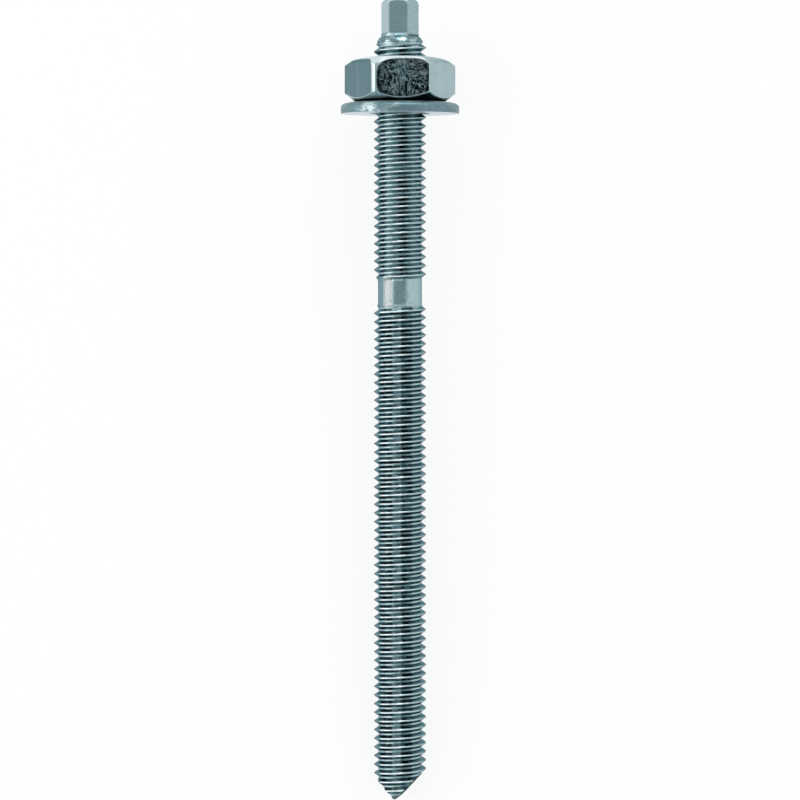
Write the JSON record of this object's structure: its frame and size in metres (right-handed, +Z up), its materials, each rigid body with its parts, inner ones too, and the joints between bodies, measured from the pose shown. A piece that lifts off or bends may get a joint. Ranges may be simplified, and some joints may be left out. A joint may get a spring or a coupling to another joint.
{
  "type": "threaded anchor rod",
  "caption": "Threaded steel anchor rod for bonded fixing, with a hexagon drive end, a smooth setting-mark band, a roof-shaped tip, a hexagon nut and a flat washer.",
  "frame": {"origin": "centre of the part's box, on the surface that it lies on", "axes": "+Z up, +Y along the rod from the tip towards the hexagon drive, +X to the right of the rod seen from above; the rod leans 2.78 degrees, because it rests on the washer's rim and on the thread at the tip"},
  "size_m": [0.0204, 0.1379, 0.0204],
  "materials": {
    "rod_steel": "rolled thread, bright zinc plate with a cool blue-green tint",
    "nut_steel": "cold-formed, bright zinc plate with rolled-in mottling on the flats",
    "washer_steel": "blanked, satin zinc plate"
  },
  "bodies": {
    "rod": {"anchor_rod": "rod_steel"},
    "washer": {"washer": "washer_steel"},
    "nut": {"hex_nut": "nut_steel"}
  },
  "joints": [
    {"name": "nut_travel", "type": "slide", "parent": "rod", "child": "washer", "axis": [0, -0.9988, -0.0485], "range_m": [-0.0024, 0.0287]},
    {"name": "nut_turn", "type": "hinge", "parent": "washer", "child": "nut", "pos_m": [0, 0.05091, 0.01027], "axis": [0, -0.9988, -0.0485], "range_deg": [-540, 6840]}
  ],
  "couplings": [
    {"joint": "nut_travel", "follows": "nut_turn", "m_per_rad": 0.00023873}
  ]
}
